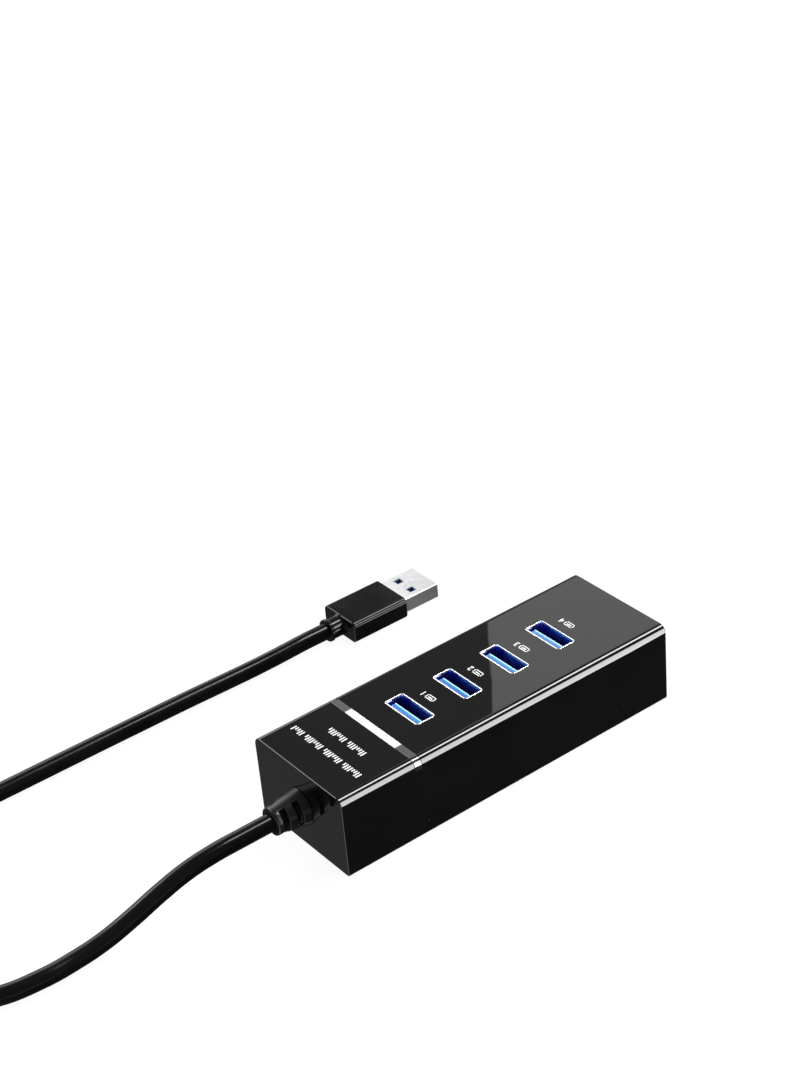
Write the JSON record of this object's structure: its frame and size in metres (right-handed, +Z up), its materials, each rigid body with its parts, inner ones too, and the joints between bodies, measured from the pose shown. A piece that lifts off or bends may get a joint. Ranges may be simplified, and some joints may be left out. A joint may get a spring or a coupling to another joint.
{
  "type": "usb hub",
  "caption": "Slim black desktop USB hub: a row of upright blue-tongued ports in a glossy top, a lit bar across it, and a short fixed lead ending in a Type-A plug.",
  "frame": {"origin": "centre of the housing's underside", "axes": "+X along the housing away from its lead, +Y across it towards the side where the plug lies, +Z up"},
  "size_m": [0.2143, 0.0923, 0.023],
  "materials": {
    "gloss_black_shell": "polished black ABS, mirror gloss",
    "black_cover": "fine spark-textured black ABS",
    "black_screw": "black zinc-plated steel",
    "bright_screw": "zinc-plated steel",
    "smoked_light_bar": "translucent milky acrylic, lit in the middle",
    "white_diffuser": "white translucent moulding",
    "green_board": "solder mask over woven glass laminate",
    "nickel_shell": "nickel-plated sheet steel",
    "blue_insulator": "moulded blue nylon",
    "gold_contact": "gold-flashed spring bronze",
    "chip_black": "moulded epoxy",
    "tinned_lead": "tinned copper",
    "bare_can": "bare drawn metal can",
    "tan_ceramic": "fired ceramic",
    "black_resistor": "glazed black film",
    "clear_led": "phosphor under clear epoxy",
    "black_cable": "satin black PVC",
    "red_wire": "coloured PVC insulation",
    "green_wire": "coloured PVC insulation",
    "blue_wire": "coloured PVC insulation",
    "black_grip": "satin black PVC overmould",
    "core_white": "milky polyethylene inner moulding"
  },
  "bodies": {
    "root": {"top_housing": "gloss_black_shell", "bottom_cover": "black_cover", "cover_screws": "black_screw", "light_bar": "smoked_light_bar", "light_diffuser": "white_diffuser", "circuit_board": "green_board", "board_screws": "bright_screw", "port_1_shell": "nickel_shell", "port_2_shell": "nickel_shell", "port_3_shell": "nickel_shell", "port_4_shell": "nickel_shell", "port_1_insulator": "blue_insulator", "port_2_insulator": "blue_insulator", "port_3_insulator": "blue_insulator", "port_4_insulator": "blue_insulator", "port_1_contacts": "gold_contact", "port_2_contacts": "gold_contact", "port_3_contacts": "gold_contact", "port_4_contacts": "gold_contact", "controller_chip": "chip_black", "chip_leads": "tinned_lead", "crystal": "bare_can", "voltage_regulator": "chip_black", "input_capacitor": "bare_can", "small_capacitors": "tan_ceramic", "resistors": "black_resistor", "indicator_leds": "clear_led", "cable_strain_relief": "black_cable", "cable_end_in_hub": "black_cable", "power_wires": "red_wire", "data_wires": "green_wire", "superspeed_wires": "blue_wire", "cable_cord": "black_cable", "cable_end_in_plug": "black_cable", "plug_grip": "black_grip", "plug_core": "core_white", "plug_shell": "nickel_shell", "plug_insert": "blue_insulator", "plug_contacts": "gold_contact"}
  },
  "joints": []
}
